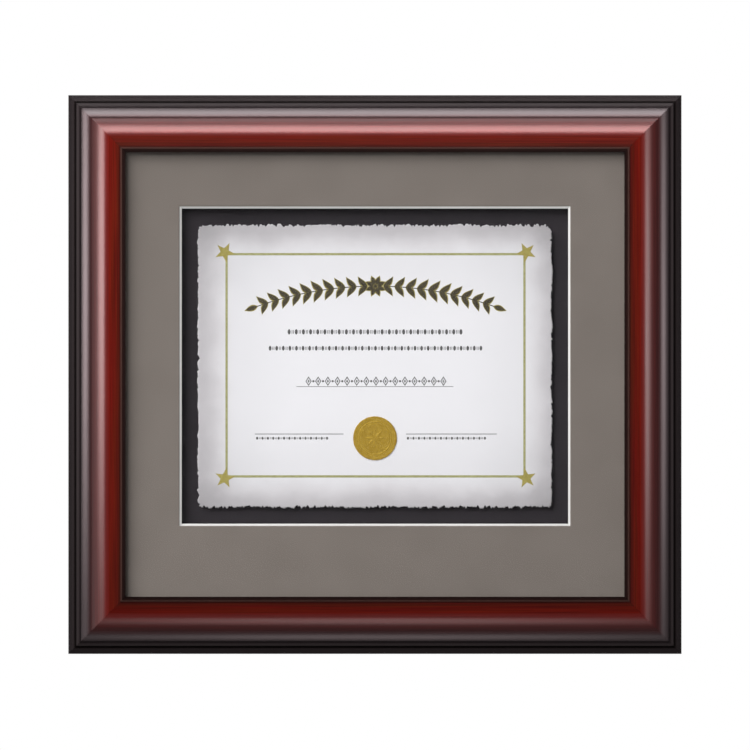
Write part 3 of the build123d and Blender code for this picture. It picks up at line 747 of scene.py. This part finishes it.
class Print:
    """Flat shapes of ink, gathered into one piece; shapes that overlap differ a little in height."""

    def __init__(self, name, ink_used, lift, slot=None):
        self.name, self.ink, self.lift, self.slot = name, ink_used, lift, slot
        self.points, self.faces = [], []

    def loop(self, outline, lift):
        """Adds points that far in front of the sheet, and gives the number of the first."""
        first = len(self.points)
        self.points += [(x, SHEET_FRONT - lift, z) for x, z in outline]
        return first

    def shape(self, outline, level=0):
        count, lift = len(outline), self.lift + LEVEL_STEP * level
        front, back = self.loop(outline, lift), self.loop(outline, -lift)
        self.faces += [cap(front, count), cap(back, count)] + between(front, back, count)

    def band(self, outer, inner):
        """Closed band between two outlines of as many points."""
        loops = ((outer, self.lift), (inner, self.lift), (inner, -self.lift), (outer, -self.lift))
        starts = [self.loop(outline, lift) for outline, lift in loops]
        for a, b in zip(starts, starts[1:] + starts[:1]):
            self.faces += between(a, b, len(outer))

    def bar(self, x0, z0, x1, z1):
        self.shape([(x0, z0), (x1, z0), (x1, z1), (x0, z1)])

    def oval(self, x, z, wide, tall, count=16):
        turns = [2 * pi * k / count for k in range(count)]
        self.shape([(x + wide * cos(t), z + tall * sin(t)) for t in turns])

    def leaf(self, x, z, turn, length, width, bend=0.0, level=0):
        """Pointed leaf from its foot, along turn in radians, widest a little before its middle."""
        steps = 10
        shares = [k / steps for k in range(1, steps)]

        def edge(side):
            widths = [side * width / 2 * sin(pi * t ** 0.8) ** 1.1 for t in shares]
            return [(t * length, wide + bend * length * sin(pi * t)) for t, wide in zip(shares, widths)]

        along = [(0.0, 0.0), *edge(1), (length, 0.0), *reversed(edge(-1))]
        c, s = cos(turn), sin(turn)
        self.shape([(x + a * c - b * s, z + a * s + b * c) for a, b in along], level)

    def star(self, x, z, turn, outer, inner, prongs, level=0):
        """Star with slightly hollow prongs."""
        hollow, hollow_at = 1.55 * inner, 0.16
        ring = []
        for k in range(prongs):
            for part, radius in ((0.0, outer), (hollow_at, hollow), (0.5, inner), (1 - hollow_at, hollow)):
                angle = turn + 2 * pi * (k + part) / prongs
                ring.append((x + radius * cos(angle), z + radius * sin(angle)))
        self.shape(ring, level)

    def lozenge(self, x, z, wide, tall, bar):
        """Upright lozenge, open in the middle."""
        less = 1 - bar * hypot(wide, tall) / (wide * tall)
        ring = [(wide, 0), (0, tall), (-wide, 0), (0, -tall)]
        self.band(*[[(x + a * size, z + b * size) for a, b in ring] for size in (1, less)])

    def done(self):
        return piece(self.name, self.points, self.faces, [self.ink], sharp=30.0)


def border():
    gold = Print("certificate_border", border_ink, 0.03, "gold_foil")
    left, top = pixel(*BORDER_LEFT_TOP)
    right, bottom = pixel(*BORDER_RIGHT_BOTTOM)
    outlines = []
    for d in (BORDER_WIDTH / 2, -BORDER_WIDTH / 2):
        low_x, low_z, high_x, high_z = left - d, bottom - d, right + d, top + d
        outlines.append([(low_x, low_z), (high_x, low_z), (high_x, high_z), (low_x, high_z)])
    gold.band(*outlines)
    gold.done()
    stars = Print("certificate_corner_stars", gold_ink, 0.05, "gold_foil")
    for x, z, degrees_out in ((left, top, 135), (right, top, 45), (left, bottom, 225), (right, bottom, 315)):
        turn = radians(degrees_out)
        x, z = x + STAR_OFFSET * cos(turn), z + STAR_OFFSET * sin(turn)
        stars.star(x, z, turn, STAR_RADIUS, STAR_WAIST, prongs=5)
    stars.done()


def places(row, many):
    """Evenly spaced places along a row, in mm."""
    first, last, height = row
    return [pixel(first + (last - first) * k / (many - 1), height) for k in range(many)]


def bead_row(grey, row, tall, many):
    """Row of beads, with a pair of reels between each two."""
    pitch = (row[1] - row[0]) * PIXEL / (many - 1)
    bead, reel, spread = 0.42 * pitch, 0.09 * pitch, 0.2 * pitch
    reel_tall = 0.34 * tall
    for k, (x, z) in enumerate(places(row, many)):
        if k % 2 == 0:
            grey.oval(x, z, bead, tall / 2)
        else:
            for middle in (x - spread, x + spread):
                grey.bar(middle - reel, z - reel_tall, middle + reel, z + reel_tall)


def rules():
    grey = Print("certificate_rules", grey_ink, 0.02)
    for row, width in RULES:
        (x0, z), (x1, _) = places(row, 2)
        grey.bar(x0, z - width / 2, x1, z + width / 2)
    for row, tall, many in BEAD_ROWS:
        bead_row(grey, row, tall, many)
    for k, (x, z) in enumerate(places(NAME_ROW, NAME_SHAPES)):
        if k % 2:
            grey.oval(x, z, NAME_BEAD, NAME_BEAD)
        else:
            grey.lozenge(x, z, *NAME_LOZENGE, NAME_LOZENGE_BAR)
            wide, tall = NAME_CORE
            grey.shape([(x + wide, z), (x, z + tall), (x - wide, z), (x, z - tall)])
    grey.done()


def laurel():
    """Arch of laurel sprays on either side of a rosette, in the heading's place."""
    under = Print("certificate_laurel_gold", gold_ink, 0.02, "gold_foil")
    over = Print("certificate_laurel", olive_ink, 0.045)

    def leaf(x, z, turn, dark, gold, back, bend=0.0, level=0):
        """Dark leaf, of a length and width, over a larger gold one whose foot lies further back."""
        over.leaf(x, z, turn, *dark, bend, level)
        under.leaf(x - back * cos(turn), z - back * sin(turn), turn, *gold, bend, level)

    (left, left_z), (right, right_z), (_, apex) = pixel(*ARCH_LEFT), pixel(*ARCH_RIGHT), pixel(*ARCH_TOP)
    middle, half, rise = (left + right) / 2, (right - left) / 2, apex - (left_z + right_z) / 2
    radius = (half * half + rise * rise) / (2 * rise)
    widest = asin(half / radius)
    for side in (-1, 1):
        stem = []
        for k in range(LAUREL_PAIRS + 1):
            angle = side * widest * (k + LAUREL_START) / LAUREL_STEPS
            x, z = middle + radius * sin(angle), apex - radius + radius * cos(angle)
            along = -angle if side > 0 else pi - angle
            stem.append((x, z, angle))
            if k == LAUREL_PAIRS:
                leaf(x, z, along, END_LEAF, END_GOLD, back=0.7)
                continue
            size = 1.0 - 0.25 * abs(k / LAUREL_PAIRS - 0.4)  # largest two fifths along
            dark, gold = [(size * length, size * width) for length, width in (SIDE_LEAF, SIDE_GOLD)]
            for fork in (-1, 1):
                turn = along + fork * radians(LAUREL_FORK)
                leaf(x, z, turn, dark, gold, back=0.6, bend=-0.10 * fork, level=max(fork, 0))
        upper, lower = [[(x + d * sin(angle), z + d * cos(angle)) for x, z, angle in stem]
                        for d in (STEM_WIDTH / 2, -STEM_WIDTH / 2)]
        over.shape(upper + lower[::-1], level=2)
    for k in range(PETALS):
        turn = 2 * pi * (k + 0.5) / PETALS
        x, z = middle + PETAL_FOOT * cos(turn), apex + PETAL_FOOT * sin(turn)
        leaf(x, z, turn, PETAL, PETAL_GOLD, back=0.4, level=3 + k % 2)
    over.star(middle, apex, turn=0, outer=1.3, inner=1.0, prongs=PETALS, level=5)
    under.done()
    over.done()


border()
rules()
laurel()


# Seal: embossed foil

def seal():
    """Foil with a soft rim, a ring of beads, a band, a wreath and a rosette of eight rays."""
    middle_z = WINDOW_Z - CERTIFICATE_HEIGHT / 2 + SEAL_RISE
    thickness, relief, sunk = 0.37, 0.11, 0.01
    spokes, rings = 192, 52

    def bulge(r, middle, half_width):
        return max(0.0, 1 - ((r - middle) / half_width) ** 2)

    def height(r, a):
        rim = bulge(r, 14.65, 0.95)
        beads = bulge(r, 13.0, 0.62) * max(0.0, cos(48 * a)) ** 0.7
        band = bulge(r, 11.6, 0.45)
        wreath = bulge(r, 9.4, 1.5) * abs(sin(12 * a + 1.6 * (r - 9.4)))
        tip = 3.2 + 4.0 * (0.5 + 0.5 * cos(8 * a)) ** 2
        rosette = max(0.0, min(1.0, (tip - r) / 1.4)) * (0.55 + 0.45 * abs(cos(4 * a)))
        return thickness + relief * max(0.7 * rim, beads, band, 0.6 * wreath, 0.8 * rosette)

    angles = [2 * pi * k / spokes for k in range(spokes)]
    points = [(0.0, SHEET_FRONT - height(0, 0), middle_z)]
    for j in range(1, rings + 1):
        r = SEAL_RADIUS * j / rings
        points += [(r * cos(a), SHEET_FRONT - height(r, a), middle_z + r * sin(a)) for a in angles]
    points += [(SEAL_RADIUS * cos(a), SHEET_FRONT + sunk, middle_z + SEAL_RADIUS * sin(a)) for a in angles]
    faces = [(0, 1 + k, 1 + (k + 1) % spokes) for k in range(spokes)]
    for j in range(rings):
        faces += between(1 + j * spokes, 1 + (j + 1) * spokes, spokes)
    faces.append(cap(1 + rings * spokes, spokes))
    made = piece("gold_seal_foil", points, faces, [gold_foil], sharp=60.0)
    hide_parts("gold_seal")
    return made


foil_seal = seal()


# Hardware on the back, and the glazing

SAME_POINT = 2e-6  # m
SAME_PLANE = 0.6  # degrees that faces of one plane may turn
EASED_TURN = 38  # degrees from which an edge is eased


def ring(name):
    """Wire D of a hanger, round in section, through its strap's loop."""
    x, bar_y, bar_z = PIVOTS[name]
    half_bar = RING_RADIUS - RING_BEND
    sides, bar_steps, bend_steps, round_steps = 20, 8, 10, 56
    bends = [pi / 2 * k / bend_steps for k in range(bend_steps + 1)]
    rounds = [pi * k / round_steps for k in range(round_steps + 1)]
    path = [(-half_bar + 2 * half_bar * k / bar_steps, 0.0) for k in range(bar_steps + 1)]
    path += [(half_bar + RING_BEND * sin(t), RING_BEND - RING_BEND * cos(t)) for t in bends[1:]]
    path += [(RING_RADIUS * cos(t), RING_BEND + RING_SIDE + RING_RADIUS * sin(t)) for t in rounds]
    path += [(-half_bar - RING_BEND * cos(t), RING_BEND - RING_BEND * sin(t)) for t in bends[:-1]]
    points, faces, count = [], [], len(path)
    for k, (px, pz) in enumerate(path):
        before, after = path[k - 1], path[(k + 1) % count]
        run = Vector((after[0] - before[0], after[1] - before[1])).normalized()
        for j in range(sides):
            turn = 2 * pi * j / sides
            out = WIRE_RADIUS * cos(turn)
            points.append((x + px + run.y * out, bar_y + WIRE_RADIUS * sin(turn), bar_z + pz - run.x * out))
        faces += between(k * sides, (k + 1) % count * sides, sides)
    made = piece(name + "_wire", points, faces, [zinc], body=name, sharp=50.0)
    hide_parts(name)


def eased(name, width, body, finish, thin=0.0):
    """Copy of a CAD solid, in its place, with eased edges, and thinner from behind by a share."""
    made = bmesh.new()
    made.from_mesh(nodes[name].data)
    bmesh.ops.remove_doubles(made, verts=made.verts, dist=SAME_POINT)
    bmesh.ops.dissolve_limit(made, angle_limit=radians(SAME_PLANE), verts=made.verts, edges=made.edges)
    least = radians(EASED_TURN)
    edges = [e for e in made.edges if len(e.link_faces) == 2 and e.calc_face_angle(0.0) > least]
    bmesh.ops.bevel(made, geom=edges, offset=width * MM, offset_type="OFFSET", segments=2, profile=0.5,
                    affect="EDGES", clamp_overlap=True)
    front = min(v.co.y for v in made.verts)
    for v in made.verts:
        v.co.y = front + (v.co.y - front) * (1 - thin)
    data = bpy.data.meshes.new(name + "_eased")
    made.to_mesh(data)
    made.free()
    data.materials.append(finish)
    data.polygons.foreach_set("material_index", [0] * len(data.polygons))
    obj = show(name + "_eased", data, body, sharp=40)
    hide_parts(name)


for side in ("left", "right"):
    ring("hanger_ring_" + side)
for name in PIVOTS:
    if name.startswith("turn_button"):
        eased(name, 0.22, name, zinc)
for side in ("left", "right"):
    eased("hanger_strap_" + side, 0.15, "frame", zinc)
    eased("bumper_" + side, 0.3, "frame", rubber)
for group in ("turn_button_screws", "hanger_screws"):
    eased(group, 0.18, "frame", zinc)
eased("glazing", 0.2, "frame", glass(), thin=0.02)  # so that it clears the mat it rests on


# Finishes of the CAD solids that show as they are

finishes = {
    "mat_facing": suede, "mat_core": mat_core_white, "float_board": float_black,
    "certificate_riser": foam_black, "filler_board": foam_white, "backing_board": hardboard(),
    "certificate_hinges": hinge_tissue, "corner_nails": nail_steel,
}
for side in rails:
    finishes["spacer_" + side] = foam_black
for name, finish in finishes.items():
    for place in nodes[name].material_slots:
        place.material = finish


# Floor, below the hanging frame; lengths from here on are in m

FLOOR_Z = -0.5
FLOOR_REACH = 3.0


def floor():
    """Pale floor, lifted towards white for the camera, and see-through from below."""
    made, shader = material("pale_floor", (0.62, 0.62, 0.62), 0.9, specular=0.1)
    fine = noise(made, coords(made), 60.0)
    tone = ramp(made, fine, [(0.3, (0.60, 0.60, 0.60)), (0.7, (0.64, 0.64, 0.64))])
    put(made, shader.inputs["Base Color"], tone)
    seen = add(made, "LightPath").outputs["Is Camera Ray"]
    put(made, shader.inputs["Emission Strength"], math(made, "MULTIPLY", seen, 0.42))
    shader.inputs["Emission Color"].default_value = (*WHITE, 1)
    below = add(made, "NewGeometry").outputs["Backfacing"]
    clear = add(made, "BsdfTransparent").outputs[0]
    surface(made, add(made, "MixShader", {0: below, 1: shader.outputs[0], 2: clear}))
    data = bpy.data.meshes.new("floor")
    ends = ((-1, -1), (1, -1), (1, 1), (-1, 1))
    data.from_pydata([(x * FLOOR_REACH, y * FLOOR_REACH, FLOOR_Z) for x, y in ends], [], [(0, 1, 2, 3)])
    data.materials.append(made)
    obj = linked("floor", data)
    obj.visible_diffuse = False


floor()


# Light: a soft key from the upper left, a light for the back, and lamps for single pieces

WARM = (1.0, 0.9, 0.9)
MIDDLE, SEAL_MIDDLE = (0.0, -0.02, 0.0), (0.0, -0.016, -0.045)
OUTWARD = {"top": (0, 1), "bottom": (0, -1), "left": (-1, 0), "right": (1, 0)}
RAIL_X, RAIL_Y, RAIL_Z = 0.195, -0.03, 0.175  # the rails' faces, from the frame's middle
SOFT_BOX_DISTANCE = 0.7
AMBIENT = 0.22


def lamp(name, place, aim, size, watts, only=(), never=(), diffuse=True, glossy=True, colour=WHITE):
    """Area lamp that lights everything, or only or never the given pieces."""
    data = bpy.data.lights.new(name, "AREA")
    data.color = colour
    data.shape = "RECTANGLE"
    data.size, data.size_y = size
    data.energy = watts
    obj = linked(name, data)
    obj.location = place
    obj.rotation_euler = (Vector(aim) - Vector(place)).to_track_quat("-Z", "Y").to_euler()
    obj.visible_camera, obj.visible_diffuse, obj.visible_glossy = False, diffuse, glossy
    if only or never:
        group = bpy.data.collections.new(name + "_lights")
        for one in (*only, *never):
            group.objects.link(one)
        for one in group.collection_objects:
            one.light_linking.link_state = "EXCLUDE" if never else "INCLUDE"
        obj.light_linking.receiver_collection = group


def soft_box(side, kind, lean, wide, radiance, reach=(-0.5, 0.5), colour=WHITE):
    """Strip along a rail and in front of it, seen only in that rail's gloss: lean and width in degrees."""
    out_x, out_z = OUTWARD[side]
    middle, long = sum(reach) / 2, reach[1] - reach[0]
    aim = Vector((out_x * RAIL_X or middle, RAIL_Y, out_z * RAIL_Z or middle))
    away = radians(lean)
    place = aim + SOFT_BOX_DISTANCE * Vector((out_x * sin(away), -cos(away), out_z * sin(away)))
    across = 2 * SOFT_BOX_DISTANCE * tan(radians(wide / 2))
    size = (long, across) if out_z else (across, long)
    watts = radiance * pi * across * long
    lamp(side + kind, place, aim, size, watts, only=[rails[side]], diffuse=False, colour=colour)


def fill(side, place, wide, watts):
    """Lamp for a rail's own colour, left out of its gloss."""
    out_x, out_z = OUTWARD[side]
    aim = (out_x * RAIL_X, RAIL_Y, out_z * RAIL_Z)
    lamp(side + "_fill", place, aim, (wide, wide), watts, only=[rails[side]], glossy=False)


bevel = [nodes["mat_core"]]
lamp("key", (-4.31, -3.45, 4.31), MIDDLE, (5.0, 5.0), watts=945, never=[*rails.values(), *bevel])
lamp("back_key", (1.9, 3.2, 2.9), MIDDLE, (2.4, 2.4), watts=300)
lamp("bevel_key", (-2.2, -1.2, 0.96), MIDDLE, (1.2, 1.2), watts=112, only=bevel)
lamp("bevel_fill", (1.2, -0.75, -0.3), MIDDLE, (0.6, 0.6), watts=18.9, only=bevel)
soft_box("top", "_gloss", lean=5, wide=40, radiance=38)
soft_box("left", "_gloss", lean=12, wide=32, radiance=54, reach=(-0.065, 0.27), colour=WARM)
soft_box("right", "_gloss", lean=5, wide=27, radiance=33, reach=(-0.1, 0.2), colour=WARM)
soft_box("bottom", "_gloss", lean=15, wide=34, radiance=11.5, reach=(-0.18, 0.17), colour=WARM)
soft_box("top", "_rim", lean=55, wide=24, radiance=16)
soft_box("left", "_rim", lean=50, wide=30, radiance=4)
fill("top", (0, -4.0, RAIL_Z), wide=1.5, watts=110)
fill("bottom", (0, -4.0, 1.8), wide=1.5, watts=54)
fill("left", (-0.1, -0.6, 0.36), wide=0.4, watts=4.3)
fill("right", (0.0, -0.6, 0.36), wide=0.4, watts=3.3)
lamp("seal_gloss", (-0.8, -1.6, 1.0), SEAL_MIDDLE, (0.7, 0.7), watts=6, only=[foil_seal], diffuse=False)

world = bpy.data.worlds.new("studio")
scene = bpy.context.scene
scene.world = world
world.use_nodes = True
ambient = world.node_tree.nodes["Background"]
ambient.inputs["Color"].default_value = (*WHITE, 1)
ambient.inputs["Strength"].default_value = AMBIENT
white = add(world, "Background", {"Color": (*WHITE, 1), "Strength": 1.0})
ray = add(world, "LightPath").outputs
seen = ray["Is Camera Ray"]
for kind in ("Is Glossy Ray", "Is Transmission Ray"):
    seen = math(world, "MAXIMUM", seen, ray[kind])
mixed = add(world, "MixShader", {0: seen, 1: ambient.outputs[0], 2: white.outputs[0]})
put(world, world.node_tree.nodes["World Output"].inputs["Surface"], mixed.outputs[0])


# Camera: straight on, from far away

CAMERA_DISTANCE = 6.0  # from the wall
PHOTO_PLANE = 0.023  # from the wall to where a pixel measures PIXEL

lens = bpy.data.cameras.new("camera")
lens.sensor_width = 36.0
lens.lens = (CAMERA_DISTANCE - PHOTO_PLANE) * lens.sensor_width / (IMAGE_SIZE * PIXEL * MM)
camera = linked("camera", lens)
camera_x, camera_z = pixel(IMAGE_SIZE / 2, IMAGE_SIZE / 2)
camera.location = (camera_x * MM, -CAMERA_DISTANCE, camera_z * MM)
camera.rotation_euler = (pi / 2, 0, 0)
scene.camera = camera
scene.view_settings.view_transform = "Standard"
